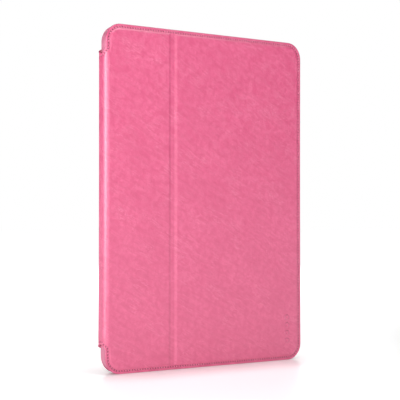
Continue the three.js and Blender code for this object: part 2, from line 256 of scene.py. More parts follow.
def nearest(path, points):
    """The distance of each point from the path, how far along the path, and which way is inward."""
    start, step = path[:-1], np.diff(path, axis=0)
    length = np.linalg.norm(step, axis=1)
    reached = np.append(0, np.cumsum(length))[:-1]
    offset = points[:, None, :] - start[None]
    t = np.clip((offset * step).sum(-1) / length**2, 0, 1)
    gap = offset - t[..., None] * step
    distance = np.linalg.norm(gap, axis=-1)
    best = distance.argmin(axis=1)
    row = np.arange(len(points))
    close = distance[row, best]
    left_of = np.stack([-step[best, 1], step[best, 0]], axis=1) / length[best, None]
    side = np.where((gap[row, best] * left_of).sum(axis=1) < 0, -1, 1)
    away = gap[row, best] * (side / np.maximum(close, 1e-5))[:, None]
    inward = np.where(close[:, None] > 1e-2, away, left_of)
    return close, reached[best] + t[row, best] * length[best], inward, side


# ---- The unrolled sheet's grid ----
def spread(start, end, step):
    return np.linspace(start, end, max(2, round((end - start) / step) + 1))


def merge_lines(*parts):
    return np.unique(np.round(np.concatenate([np.atleast_1d(p) for p in parts]), 4))


def quads_of(grid):
    """Four corner points for each cell of a grid of points."""
    corners = [grid[:-1, :-1], grid[:-1, 1:], grid[1:, 1:], grid[1:, :-1]]
    return np.stack(corners, axis=2).reshape(-1, 4, 2)


def tensor(s_lines, z_lines):
    s, z = np.meshgrid(s_lines, z_lines)
    return quads_of(np.stack([s, z], axis=-1))


def corner_quads(s, z, start):
    """The quads of one rounded corner, ring by ring, from its arc to its centre."""
    angles = np.linspace(start, start + math.pi / 2, CORNER_STEPS + 1)
    reach = CORNER - np.array(RINGS)[:, None]
    return quads_of(np.stack([s + reach * np.cos(angles), z + reach * np.sin(angles)], axis=-1))


def neck_quads(left, z_lines):
    """The sheet between its notches, from the cover's left edge to the middle of the spine."""
    columns = merge_lines(
        spread(SPINE_MIDDLE, SLANT_END, FOLD_GRID), spread(SLANT_END, left, FOLD_GRID))
    rise = np.interp(columns, [SLANT_END, left], [SPINE_END - NOTCH_START, 0])
    s, z = np.meshgrid(columns, z_lines)
    from_notch = np.minimum(z, HEIGHT - z) - NOTCH_START
    shift = rise * (1 - smooth(0, CORNER, from_notch))
    return quads_of(np.stack([s, z + np.where(z < MIDDLE_Z, shift, -shift)], axis=-1))


def sheet_quads(sheet, part):
    """The corner points of the quads of a sheet's hinge part or cover part."""
    rings = np.array(RINGS)
    left, right = sheet.free_left, WIDTH
    lower = merge_lines(
        LOWER_HEIGHTS, NOTCH_START + rings, spread(NOTCH_START + CORNER, MIDDLE_Z, HEIGHT_GRID))
    z_inner = merge_lines(lower, HEIGHT - lower)
    if part == "hinge":
        neck = z_inner[(z_inner > NOTCH_START - 1e-3) & (z_inner < HEIGHT - NOTCH_START + 1e-3)]
        return np.concatenate([
            tensor(left + rings, z_inner),
            neck_quads(left, neck),
            corner_quads(left + CORNER, CORNER, math.pi),
            corner_quads(left + CORNER, HEIGHT - CORNER, math.pi / 2),
        ])
    s_inner = spread(left + CORNER, right - CORNER, COVER_GRID)
    if sheet.crease:
        first, last = CREASE_LEFT[0] - 0.3, CREASE_RIGHT[1] + 0.3
        s_inner = merge_lines(
            spread(left + CORNER, first, COVER_GRID), spread(first, last, CREASE_GRID),
            spread(last, right - CORNER, COVER_GRID),
        )
    return np.concatenate([
        tensor(s_inner, merge_lines(rings, z_inner, HEIGHT - rings)),
        tensor(np.sort(right - rings), z_inner),
        corner_quads(right - CORNER, CORNER, 1.5 * math.pi),
        corner_quads(right - CORNER, HEIGHT - CORNER, 0),
    ])


def welded(quads):
    """Points and faces from quads, with shared corners joined and flat corners dropped."""
    points, index = np.unique(np.round(quads.reshape(-1, 2), 4), axis=0, return_inverse=True)
    index = index.reshape(-1, 4)
    area = 0
    for a, b in ((0, 1), (1, 2), (2, 3), (3, 0)):
        p, q = points[index[:, a]], points[index[:, b]]
        area = area + p[:, 0] * q[:, 1] - q[:, 0] * p[:, 1]
    faces = []
    for corners, doubled in zip(index.tolist(), area):
        face = list(dict.fromkeys(corners))
        if len(face) > 2 and abs(doubled) > 1e-9:
            faces.append(face if doubled > 0 else face[::-1])
    return points, faces


def open_edges(faces):
    """The directed edges that only one face uses."""
    edges = [(f[i - 1], f[i]) for f in faces for i in range(len(f))]
    have = set(edges)
    return [(a, b) for a, b in edges if (b, a) not in have]


def with_hole(points, faces, centre, radius):
    """The same mesh with a round hole, edged by rings of finer points."""
    gap = np.linalg.norm(points - centre, axis=1)
    inside = gap < radius + HOLE_CLEARANCE
    removed = [f for f in faces if any(inside[i] for i in f)]
    kept = [f for f in faces if not any(inside[i] for i in f)]
    border = open_edges(removed)
    order = sorted({i for edge in border for i in edge})
    renumber = {old: new for new, old in enumerate(order)}
    loose = [points[i] for i in order]
    edges = [(renumber[a], renumber[b]) for a, b in border]
    for width in HOLE_RINGS:
        first = len(loose)
        for k in range(HOLE_STEPS):
            angle = 2 * math.pi * k / HOLE_STEPS
            loose.append(centre + (radius + width) * np.array([math.cos(angle), math.sin(angle)]))
            edges.append((first + k, first + (k + 1) % HOLE_STEPS))
    verts, _, triangles, *_ = delaunay_2d_cdt([Vector(p) for p in loose], edges, [], 0, 1e-5)
    verts = np.array([tuple(v) for v in verts])
    loop = np.array([[points[a], points[b]] for a, b in border])
    new_faces = []
    for triangle in triangles:
        x, z = verts[list(triangle)].mean(axis=0)
        begin, end = np.moveaxis(loop[(loop[:, 0, 1] > z) != (loop[:, 1, 1] > z)], 1, 0)
        share = (z - begin[:, 1]) / (end[:, 1] - begin[:, 1])
        at = begin[:, 0] + share * (end[:, 0] - begin[:, 0])
        if (at > x).sum() % 2 and np.hypot(x - centre[0], z - centre[1]) > radius * 0.998:
            new_faces.append([len(points) + i for i in triangle])
    joined = np.concatenate([points, verts])
    merged, index = np.unique(np.round(joined, 4), axis=0, return_inverse=True)
    index = index.reshape(-1)
    everything = [[int(index[i]) for i in f] for f in kept + new_faces]
    used = np.unique([i for f in everything for i in f])
    back = {old: new for new, old in enumerate(used)}
    return merged[used], [[back[i] for i in f] for f in everything]


# ---- Depths under the outer face ----
def crease_share(s):
    """1 along the pressed line and 0 away from it."""
    return smooth(*CREASE_LEFT, s) * (1 - smooth(*CREASE_RIGHT, s))


def gentle_wave(s, z):
    """The slight unevenness of leather glued on board, in mm."""
    wave = 0.5 * np.sin(s * 0.071 + 1.3 * np.sin(z * 0.031) + 0.4)
    wave = wave + 0.5 * np.sin(z * 0.083 + 1.1 * np.sin(s * 0.047 + 2.0) + 1.7)
    return wave + 0.35 * np.sin(s * 0.19 + z * 0.13 + 1.5 * np.sin(z * 0.06))


def edge_round(d, drop, width=EDGE_ROUND):
    """How far a rounded edge has dropped, at a distance from the layer's border."""
    share = np.clip(1 - d / width, 0, 1)
    return drop * (1 - np.sqrt(1 - share**2))


def outer_depth(sheet, s, z, d):
    """Depth of the leather's outer face: sunk at the border and the crease, and round at its edge."""
    sink = mix(SPINE_SINK, sheet.sink, smooth(2, 5, s))
    border = sink * (1 - smooth(BEVEL_START, BEVEL_END, d))
    pressed = CREASE_SINK * crease_share(s) if sheet.crease else 0
    channel = CHANNEL_DEPTH * np.exp(-(((d - STITCH_INSET) / CHANNEL_HALF) ** 2))
    wave = WAVE_DEPTH * gentle_wave(s, z) * smooth(1, 7, d)
    return np.maximum(border, pressed) + channel + wave + edge_round(d, sheet.outer_drop)


def hem_depth(sheet, s):
    """Depth of the inner face of the turned-in leather."""
    return mix(SPINE_HEM, sheet.hem, smooth(0, HEM_WIDTH, s))


def inner_depth(sheet, s, z, d):
    """Depth of the leather's inner face: one layer thick, and two at the hem round its border."""
    pressed = CREASE_SINK * crease_share(s) if sheet.crease else 0
    hem = 1 - smooth(HEM_WIDTH - 0.35, HEM_WIDTH, d)
    return mix(LEATHER + pressed, hem_depth(sheet, s), hem) - edge_round(d, sheet.inner_drop)


def lining_depth(sheet, s, z, d):
    """Depth of the lining's outer face, which lies on the boards, the hem and the bare leather."""
    board = smooth(HEM_WIDTH, HEM_WIDTH + 0.8, s)
    bare = LEATHER + 0.01 * (s < 0)
    if sheet.crease:
        in_crease = smooth(CREASE_START - 0.6, CREASE_START + 0.4, s) * (
            1 - smooth(CREASE_END - 0.4, CREASE_END + 0.6, s)
        )
        board = board * (1 - in_crease)
        bare = bare + CREASE_SINK * in_crease
    spine = 1 - smooth(ARC_END - 0.5, ARC_END + 0.2, s)
    depth = bare + (sheet.hem - LEATHER) * board * (1 - (bare - LEATHER))
    depth = depth + (SPINE_HEM - LEATHER) * spine
    hem = 1 - smooth(HEM_WIDTH - 0.4, HEM_WIDTH + 0.5, d)
    return mix(depth, np.maximum(depth, hem_depth(sheet, s)), hem)


def lining_inner_depth(sheet, s, z, d):
    """Depth of the lining's visible face."""
    return lining_depth(sheet, s, z, d) + LINING - edge_round(d, 0.2, LINING_ROUND)


# ---- Meshes ----
def new_object(name, points, faces, attributes=None, sharp=40):
    """A smooth-shaded mesh object from points in mm, with point attributes, sharp past an angle."""
    mesh = bpy.data.meshes.new(name)
    mesh.from_pydata((np.asarray(points) / MM).tolist(), [], faces)
    for key, values in (attributes or {}).items():
        values = np.asarray(values, np.float32)
        kind = "FLOAT_VECTOR" if values.ndim == 2 else "FLOAT"
        attribute = mesh.attributes.new(key, kind, "POINT")
        attribute.data.foreach_set("vector" if values.ndim == 2 else "value", values.ravel())
    mesh.shade_smooth()
    mesh.set_sharp_from_angle(angle=math.radians(sharp))
    mesh.validate()
    obj = bpy.data.objects.new(name, mesh)
    bpy.context.scene.collection.objects.link(obj)
    return obj


def layer(name, sheet, part, near, far, inset=0.0, hole=None):
    """One closed layer of a sheet, between two depth functions."""
    points, faces = welded(sheet_quads(sheet, part))
    outline = free_outline(sheet)
    if hole is not None:
        points, faces = with_hole(points, faces, *hole)
    distance, _, inward, _ = nearest(outline, points)
    moved = points + inward * (inset * (1 - smooth(0, 6, distance)))[:, None]
    s, z = moved.T
    edge = nearest(outline, moved)[0] - inset
    to_path, along, _, side = nearest(free_outline(sheet, STITCH_INSET), moved)
    hole_gap = np.full(len(s), FAR)
    if hole is not None:
        hole_gap = np.linalg.norm(moved - hole[0], axis=1) - hole[1]
    near_depth = near(sheet, s, z, edge + inset) + edge_round(hole_gap, 0.15, HOLE_ROUND)
    far_depth = far(sheet, s, z, edge + inset) - edge_round(hole_gap, 0.1, HOLE_ROUND)
    if inset:
        far_depth = far_depth - edge_round(edge, 0.2, LINING_ROUND)
    top = place(sheet, s, z, near_depth)
    bottom = place(sheet, s, z, far_depth)
    count = len(points)
    under = [[count + i for i in reversed(f)] for f in faces]
    rim = [[b, a, count + a, count + b] for a, b in open_edges(faces)]
    closed = faces + under + rim
    if sheet.name == "back":
        closed = [f[::-1] for f in closed]
    shift = 0 if sheet.name == "front" else BACK_PATTERN_SHIFT
    flat = np.stack([s + shift, z, 0 * s], axis=1)
    attributes = {
        "sheet": np.concatenate([flat, flat + [0, 0, INSIDE_PATTERN_SHIFT]]),
        # edge also sets where the leather shader paints shade along the edges and round the camera hole
        "edge": np.tile(np.minimum(edge, hole_gap), 2),
        # stitch_off and stitch_along also place the painted shade of the stitch groove and the stitch
        # holes
        "stitch_off": np.tile(to_path * side, 2),
        "stitch_along": np.tile(along / stitch_step(sheet), 2),
    }
    return new_object(name, np.concatenate([top, bottom]), closed, attributes)


def tube_faces(first, rings, sides):
    """The sides and the two ends of a tube whose rings of points follow each other."""
    faces = []
    for k in range(rings - 1):
        a = first + sides * k
        b = a + sides
        faces += [[a + j, a + (j + 1) % sides, b + (j + 1) % sides, b + j] for j in range(sides)]
    faces.append([first + j for j in range(sides)][::-1])
    faces.append([first + sides * (rings - 1) + j for j in range(sides)])
    return faces


# ---- Stitches ----
def stitch_step(sheet):
    """The stitches' spacing, adjusted so that a whole number fits along the sheet's edge."""
    path = free_outline(sheet, STITCH_INSET)
    total = np.linalg.norm(np.diff(path, axis=0), axis=1).sum()
    return total / round(total / STITCH_PITCH)


def stitches(name, sheet, part, seed):
    """The stitches of one part of a sheet, on its outer face and on its lining."""
    random = np.random.default_rng(seed)
    path = free_outline(sheet, STITCH_INSET)
    length = np.linalg.norm(np.diff(path, axis=0), axis=1)
    reached = np.append(0, np.cumsum(length))
    step = stitch_step(sheet)
    count = round(reached[-1] / step)
    seam = sheet.free_left + CORNER
    stations = np.array([-1.0, -0.93, -0.75, -0.4, 0, 0.4, 0.75, 0.93, 1.0])
    thick = np.sqrt(np.clip(1 - np.abs(stations) ** 5, 0.02, 1))
    around = np.linspace(0, 2 * math.pi, THREAD_SIDES + 1)[:-1]
    points, faces, thread = [], [], []
    faces_sewn = ((-1, outer_depth, STITCH_SLANT), (1, lining_inner_depth, -STITCH_SLANT))
    for side, depth_of, lean in faces_sewn:
        for i in range(count):
            middle = (i + 0.5) * step
            jitter = random.normal(0, 1, 4)
            half = STITCH_LENGTH / 2 * (1 + 0.04 * jitter[0])
            at = np.clip(middle + 0.05 * jitter[1] + stations * half, 0, reached[-1])
            s = np.interp(at, reached, path[:, 0])
            z = np.interp(at, reached, path[:, 1])
            if (np.mean(s) < seam) != (part == "hinge"):
                continue
            ds, dz = np.gradient(s), np.gradient(z)
            size = np.hypot(ds, dz)
            normal_s, normal_z = -dz / size, ds / size
            off = (lean + 0.03 * jitter[2]) * stations
            face = depth_of(sheet, s, z, np.full(len(s), STITCH_INSET))
            lift = STITCH_BOW * (1 - stations**2) - STITCH_DIVE * np.abs(stations) ** 6
            first = len(points)
            for k in range(len(stations)):
                wide = off[k] + THREAD_HALF_WIDTH * thick[k] * np.cos(around)
                deep = face[k] + side * lift[k] + THREAD_HALF_DEPTH * thick[k] * np.sin(around)
                points += list(place(sheet, s[k] + normal_s[k] * wide, z[k] + normal_z[k] * wide, deep))
                thread += [(at[k], j / THREAD_SIDES, jitter[3]) for j in range(THREAD_SIDES)]
            faces += tube_faces(first, len(stations), THREAD_SIDES)
    obj = new_object(name, points, faces, {"thread": thread}, sharp=60)
    repair = bmesh.new()
    repair.from_mesh(obj.data)
    bmesh.ops.recalc_face_normals(repair, faces=repair.faces)
    repair.to_mesh(obj.data)
    repair.free()
    return obj


# ---- Shaders ----
class Shader:
    """A node-based material, built up call by call."""

    def __init__(self, name, **settings):
        self.material = bpy.data.materials.new(name)
        self.material.use_nodes = True
        self.nodes = self.material.node_tree.nodes
        self.links = self.material.node_tree.links
        self.surface = self.nodes["Principled BSDF"]
        for key, value in settings.items():
            self.surface.inputs[key.replace("_", " ")].default_value = value

    def add(self, kind, values=None, out=0, **settings):
        node = self.nodes.new("ShaderNode" + kind)
        for key, value in settings.items():
            setattr(node, key, value)
        for key, value in (values or {}).items():
            if isinstance(value, bpy.types.NodeSocket):
                self.links.new(value, node.inputs[key])
            else:
                node.inputs[key].default_value = value
        return node.outputs[out]

    def math(self, operation, a, b=0.0, clamp=False):
        return self.add("Math", {0: a, 1: b}, operation=operation, use_clamp=clamp)

    def attribute(self, name, out="Fac"):
        return self.add("Attribute", out=out, attribute_name=name)

    def noise(self, vector, scale, detail=2.0, rough=0.5, warp=0.0):
        return self.add("TexNoise", {
            "Vector": vector, "Scale": scale, "Detail": detail, "Roughness": rough, "Distortion": warp,
        })

    def between(self, value, low, high, to_low=0.0, to_high=1.0):
        return self.add("MapRange", {
            "Value": value, "From Min": low, "From Max": high, "To Min": to_low, "To Max": to_high,
        }, interpolation_type="SMOOTHSTEP")

    def blend(self, share, a, b):
        node = self.nodes.new("ShaderNodeMix")
        node.data_type = "RGBA"
        for key, value in ((0, share), (6, a), (7, b)):
            if isinstance(value, bpy.types.NodeSocket):
                self.links.new(value, node.inputs[key])
            else:
                node.inputs[key].default_value = value
        return node.outputs[2]

    def bump(self, height, distance, below=None):
        values = {"Height": height, "Distance": distance, "Strength": 1.0}
        if below is not None:
            values["Normal"] = below
        return self.add("Bump", values)

    def finish(self, color, roughness, normal):
        for key, value in (("Base Color", color), ("Roughness", roughness), ("Normal", normal)):
            self.links.new(value, self.surface.inputs[key])
        return self.material


def tone(red, green, blue):
    """A linear colour from 0 to 255 display values."""
    values = [v / 255 for v in (red, green, blue)]
    return [v / 12.92 if v <= 0.04045 else ((v + 0.055) / 1.055) ** 2.4 for v in values] + [1.0]


def leather_material():
    """Smooth imitation leather: mottled, finely grained, creased and pierced where it is sewn, with
    painted shade in its hollows and along its edges.
    """
    sh = Shader("leather_pink", Specular_IOR_Level=0.9, IOR=1.6)
    place_mm = sh.attribute("sheet", "Vector")
    blotch = sh.noise(place_mm, 0.24, 3.0, 0.55, 0.4)
    cloud = sh.noise(place_mm, 0.035, 2.0, 0.5)
    grain = sh.noise(place_mm, 3.2, 3.0, 0.6)
    pebble = sh.add("TexVoronoi", {"Vector": place_mm, "Scale": 1.15}, feature="SMOOTH_F1")
    leant = sh.add("VectorRotate", {"Vector": place_mm, "Angle": 0.5}, rotation_type="Z_AXIS")
    drawn = sh.add("VectorMath", {0: leant, 1: (0.14, 1.0, 1.0)}, operation="MULTIPLY")
    streak = sh.noise(drawn, 0.42, 3.0, 0.55, 0.5)
    drawn_line = sh.between(sh.math("ABSOLUTE", sh.math("SUBTRACT", streak, 0.5)), 0.0, 0.025, 1.0, 0.0)
    drawn_out = sh.math("MULTIPLY", drawn_line, sh.between(sh.noise(place_mm, 0.05, 2.0), 0.48, 0.62))
    stray = sh.add("TexNoise", {"Vector": place_mm, "Scale": 0.25, "Detail": 3.0}, out=1)
    pushed = sh.add("VectorMath", {0: stray, 1: (6.0, 6.0, 0.0), 2: place_mm}, operation="MULTIPLY_ADD")
    cells = sh.add("TexVoronoi", {"Vector": pushed, "Scale": 0.3}, feature="DISTANCE_TO_EDGE")
    wrinkle = sh.math("MULTIPLY", sh.between(cells, 0.0, 0.07, 1.0, 0.0), sh.between(blotch, 0.42, 0.62))

    off = sh.attribute("stitch_off")
    turn = sh.math("FRACT", sh.math("ADD", sh.attribute("stitch_along"), 0.5))
    along_mm = sh.math("MULTIPLY", sh.math("SUBTRACT", turn, 0.5), STITCH_PITCH)
    slanted = sh.math("ADD", along_mm, sh.math("MULTIPLY", off, 0.55))
    squares = sh.math(
        "ADD", sh.math("POWER", slanted, 2.0), sh.math("POWER", sh.math("MULTIPLY", off, 0.72), 2.0))
    hole = sh.between(sh.math("SQRT", squares), 0.3, 0.62, 1.0, 0.0)
    # Painted shade in the groove that the stitches pull into the leather.
    painted_groove_shade = sh.between(sh.math("ABSOLUTE", off), 0.2, 0.8, 1.0, 0.0)
    # Painted shade: darker along the layers' edges, the mark's outline and the camera hole, for the dark
    # outline these edges show; in part it stands for a darker edge paint.
    rim = sh.between(sh.attribute("edge"), 0.1, 0.6, 1.0, 0.0)

    color = sh.blend(sh.between(blotch, 0.3, 0.7), tone(219, 85, 129), tone(231, 104, 145))
    color = sh.blend(sh.math("MULTIPLY", sh.between(cloud, 0.35, 0.65), 0.35), color, tone(214, 83, 126))
    color = sh.blend(sh.between(streak, 0.45, 0.65, 0.0, 0.3), color, tone(208, 78, 118))
    color = sh.blend(sh.math("MULTIPLY", drawn_out, 0.45), color, tone(242, 136, 168))
    # Painted shade in the wrinkle lines, which the bump also presses in.
    color = sh.blend(sh.math("MULTIPLY", wrinkle, 0.18), color, tone(196, 78, 116))
    color = sh.blend(sh.math("MULTIPLY", painted_groove_shade, 0.45), color, tone(186, 70, 108))
    color = sh.blend(sh.math("MULTIPLY", rim, 0.35), color, tone(168, 78, 110))
    # Painted shade: the stitch holes are darkened in colour, with a bump, and are not cut into the mesh.
    color = sh.blend(sh.math("MULTIPLY", hole, 0.85), color, tone(140, 42, 78))
    rough = sh.math("ADD", sh.between(blotch, 0.25, 0.75, 0.3, 0.38), sh.math("MULTIPLY", hole, 0.3))
    normal = sh.bump(sh.math("ADD", grain, sh.math("MULTIPLY", pebble, 0.7)), 0.00003)
    normal = sh.bump(sh.math("ADD", blotch, sh.math("MULTIPLY", streak, 0.5)), 0.00014, normal)
    normal = sh.bump(sh.math("SUBTRACT", drawn_out, wrinkle), 0.00004, normal)
    normal = sh.bump(sh.math("MULTIPLY", hole, -1.0), 0.0003, normal)
    return sh.finish(color, rough, normal)


def lining_material():
    """Brushed microfibre: short nap that lies in soft patches."""
    sh = Shader("lining_microfibre", Specular_IOR_Level=0.15, Sheen_Weight=0.5, Sheen_Roughness=0.5,
                Sheen_Tint=tone(250, 200, 214))
    place_mm = sh.attribute("sheet", "Vector")
    nap = sh.noise(place_mm, 5.0, 4.0, 0.7)
    brushed = sh.noise(sh.add("VectorMath", {0: place_mm, 1: (1.0, 0.22, 1.0)}, operation="MULTIPLY"),
                       2.2, 3.0, 0.6, 0.4)
    patch = sh.noise(place_mm, 0.045, 3.0, 0.6)
    color = sh.blend(sh.between(patch, 0.25, 0.75), tone(206, 118, 144), tone(216, 132, 156))
    color = sh.blend(sh.between(nap, 0.35, 0.7, 0.0, 0.35), color, tone(186, 98, 124))
    color = sh.blend(sh.between(brushed, 0.4, 0.7, 0.0, 0.25), color, tone(238, 170, 188))
    rough = sh.between(patch, 0.35, 0.65, 0.88, 0.97)
    normal = sh.bump(nap, 0.00008)
    normal = sh.bump(brushed, 0.00006, normal)
    return sh.finish(color, rough, normal)


def thread_material():
    """Two-ply sewing thread: a fine twist, with each stitch a little lighter or darker."""
    sh = Shader("thread_pink", Specular_IOR_Level=0.35, Sheen_Weight=0.25, Sheen_Roughness=0.4)
    parts = sh.nodes.new("ShaderNodeSeparateXYZ")
    sh.links.new(sh.attribute("thread", "Vector"), parts.inputs[0])
    along, around, chance = parts.outputs
    phase = sh.math("ADD", sh.math("MULTIPLY", along, 2.4), around)
    twist = sh.math("ABSOLUTE", sh.math("SUBTRACT", sh.math("FRACT", phase), 0.5))
    fibre = sh.noise(sh.attribute("thread", "Vector"), 9.0, 3.0, 0.6)
    color = sh.blend(sh.between(chance, -2.0, 2.0), tone(232, 116, 154), tone(248, 150, 182))
    # Painted shade in the grooves between the thread's plies.
    color = sh.blend(sh.between(twist, 0.0, 0.16, 0.55, 0.0), color, tone(190, 84, 118))
    rough = sh.between(fibre, 0.3, 0.7, 0.55, 0.7)
    normal = sh.bump(sh.between(twist, 0.0, 0.3), 0.00006)
    normal = sh.bump(fibre, 0.00003, normal)
    return sh.finish(color, rough, normal)


def plastic_material():
    """Satin moulded plastic: an even fine texture with faint flow marks."""
    sh = Shader("plastic_satin", Specular_IOR_Level=0.5)
    at = sh.add("TexCoord", out="Object")
    texture = sh.noise(at, 2600.0, 2.0, 0.5)
    flow = sh.noise(at, 22.0, 3.0, 0.55, 0.8)
    color = sh.blend(sh.between(flow, 0.35, 0.65), tone(209, 122, 149), tone(213, 127, 154))
    rough = sh.between(flow, 0.3, 0.7, 0.34, 0.44)
    normal = sh.bump(texture, 0.00003)
    normal = sh.bump(flow, 0.00006, normal)
    return sh.finish(color, rough, normal)


def board_material():
    """Grey stiffener board: pressed paper fibres."""
    sh = Shader("board_grey", Specular_IOR_Level=0.2)
    at = sh.add("TexCoord", out="Object")
    fibre = sh.noise(at, 900.0, 5.0, 0.7, 1.5)
    fleck = sh.noise(at, 240.0, 3.0, 0.6)
    color = sh.blend(sh.between(fibre, 0.35, 0.65), tone(146, 142, 137), tone(170, 166, 160))
    color = sh.blend(sh.between(fleck, 0.6, 0.72, 0.0, 0.5), color, tone(112, 106, 100))
    rough = sh.between(fibre, 0.3, 0.7, 0.82, 0.94)
    return sh.finish(color, rough, sh.bump(fibre, 0.00005))


def magnet_material():
    """Nickel-plated magnet with fine lines from brushing."""
    sh = Shader("magnet_plated", Metallic=1.0)
    at = sh.add("TexCoord", out="Object")
    stretched = sh.add("VectorMath", {0: at, 1: (60.0, 60.0, 4000.0)}, operation="MULTIPLY")
    lines = sh.noise(stretched, 1.0, 3.0, 0.6)
    spots = sh.noise(at, 500.0, 2.0, 0.5)
    color = sh.blend(sh.between(lines, 0.3, 0.7), tone(196, 198, 200), tone(222, 223, 222))
    rough = sh.between(spots, 0.3, 0.7, 0.24, 0.36)
    return sh.finish(color, rough, sh.bump(lines, 0.00001))


def tape_material():
    """Thin double-sided tape: milky glue with small trapped bubbles."""
    sh = Shader("tape_milky", Specular_IOR_Level=0.4)
    at = sh.add("TexCoord", out="Object")
    bubbles = sh.add("TexVoronoi", {"Vector": at, "Scale": 350.0})
    haze = sh.noise(at, 60.0, 3.0, 0.6)
    color = sh.blend(sh.between(haze, 0.35, 0.65), tone(228, 224, 214), tone(240, 237, 228))
    color = sh.blend(sh.between(bubbles, 0.1, 0.2, 0.35, 0.0), color, tone(206, 200, 188))
    rough = sh.between(haze, 0.3, 0.7, 0.45, 0.62)
    return sh.finish(color, rough, sh.bump(bubbles, 0.00002))


leather = leather_material()
lining = lining_material()
thread = thread_material()
plastic = plastic_material()


def dress(obj, material, slot, *replaced):
    """Gives a piece its material, and hides the CAD nodes that it stands for; slot is not used."""
    obj.data.materials.clear()
    obj.data.materials.append(material)
    if replaced:
        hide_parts(*replaced)
    return obj


# ---- The cover ----
openings = {opening["name"]: opening["box_m"] for opening in frame["record"]["physics"]["openings"]}
camera_mid = np.mean(openings["camera_hole"], axis=0) * MM
camera_hole = (np.array([camera_mid[0] - LEFT, camera_mid[2]]), CAMERA_HOLE_RADIUS)

front_skin = layer("front_cover_leather", FRONT_SHEET, "cover", outer_depth, inner_depth)
dress(front_skin, leather, "leather", "strip_leather", "crease_leather", "flap_leather")
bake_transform(front_skin)
front_hinge = layer("front_hinge_leather", FRONT_SHEET, "hinge", outer_depth, inner_depth)
dress(front_hinge, leather, "leather", "front_fold_leather", "spine_leather")
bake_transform(front_hinge)
back_hinge = layer("back_hinge_leather", BACK_SHEET, "hinge", outer_depth, inner_depth)
dress(back_hinge, leather, "leather", "back_fold_leather")
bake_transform(back_hinge)
back_skin = layer("back_cover_leather", BACK_SHEET, "cover", outer_depth, inner_depth, hole=camera_hole)
dress(back_skin, leather, "leather", "back_leather")
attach(back_skin, "back_case")

front_lining = layer(
    "front_cover_lining", FRONT_SHEET, "cover", lining_depth, lining_inner_depth, LINING_INSET)
dress(front_lining, lining, "lining", "strip_lining", "crease_lining", "flap_lining")
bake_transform(front_lining)
front_hinge_lining = layer(
    "front_hinge_lining", FRONT_SHEET, "hinge", lining_depth, lining_inner_depth, LINING_INSET)
dress(front_hinge_lining, lining, "lining", "front_fold_lining", "spine_lining")
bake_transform(front_hinge_lining)
back_hinge_lining = layer(
    "back_hinge_lining", BACK_SHEET, "hinge", lining_depth, lining_inner_depth, LINING_INSET)
dress(back_hinge_lining, lining, "lining", "back_fold_lining")
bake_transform(back_hinge_lining)
back_lining = layer(
    "back_cover_lining", BACK_SHEET, "cover", lining_depth, lining_inner_depth, LINING_INSET,
    camera_hole)
dress(back_lining, lining, "lining", "back_lining")
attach(back_lining, "back_case")

front_stitches = stitches("front_cover_stitches", FRONT_SHEET, "cover", 1)
dress(front_stitches, thread, "thread", "strip_thread_lower", "strip_thread_upper", "flap_thread")
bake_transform(front_stitches)
front_hinge_stitches = stitches("front_hinge_stitches", FRONT_SHEET, "hinge", 2)
dress(front_hinge_stitches, thread, "thread")
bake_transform(front_hinge_stitches)
back_hinge_stitches = stitches("back_hinge_stitches", BACK_SHEET, "hinge", 3)
dress(back_hinge_stitches, thread, "thread")
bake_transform(back_hinge_stitches)
back_stitches = stitches("back_cover_stitches", BACK_SHEET, "cover", 4)
dress(back_stitches, thread, "thread", "back_thread")
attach(back_stitches, "back_case")


# ---- The generic mark ----
def raised_mark():
    """The row of lozenges, each a closed dome with a shallow dish in its top."""
    points, faces, edge = [], [], []
    for i in range(MARK_COUNT):
        z_mid = MARK_START + MARK_PITCH * i
        first = len(points)
        for reach, rise, to_rim in MARK_RINGS:
            for j in range(MARK_SIDES):
                angle = 2 * math.pi * j / MARK_SIDES
                across, up = math.cos(angle), math.sin(angle)
                ds = MARK_HALF[0] * reach * math.copysign(abs(across) ** MARK_POINTED, across)
                dz = MARK_HALF[1] * reach * math.copysign(abs(up) ** MARK_POINTED, up)
                s, z = np.array([MARK_MIDDLE + ds]), np.array([z_mid + dz])
                base = outer_depth(FRONT_SHEET, s, z, np.array([CLEAR_OF_EDGE]))
                points.append(place(FRONT_SHEET, s, z, base - rise)[0])
                # the outer rings' small values make the leather shader paint shade round each dome
                edge.append(to_rim)
        faces += tube_faces(first, len(MARK_RINGS), MARK_SIDES)
    flat = [(p[0] - LEFT, p[2], 0) for p in points]
    attributes = {
        "sheet": flat, "edge": np.array(edge),
        "stitch_off": np.full(len(points), CLEAR_OF_EDGE), "stitch_along": np.zeros(len(points)),
    }
    return new_object("corner_mark", points, faces, attributes, sharp=70)


mark = raised_mark()
dress(mark, leather, "leather")
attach(mark, "front_flap")


# ---- The tray ----
def bake(obj):
    """Applies an object's modifiers."""
    done = bpy.data.meshes.new_from_object(obj.evaluated_get(bpy.context.evaluated_depsgraph_get()))
    obj.modifiers.clear()
    obj.data = done


def mark_worn_edges(mesh):
    """Gives a bevel weight to each sharp edge that has room for the bevel at both its ends."""
    weight = mesh.edges.layers.float.new("bevel_weight_edge")
    for edge in mesh.edges:
        shortest = min(near.calc_length() for vert in edge.verts for near in vert.link_edges)
        if edge.calc_face_angle(0) > EASE_ANGLE and shortest > 2 * EASE_WIDTH:
            edge[weight] = 1.0


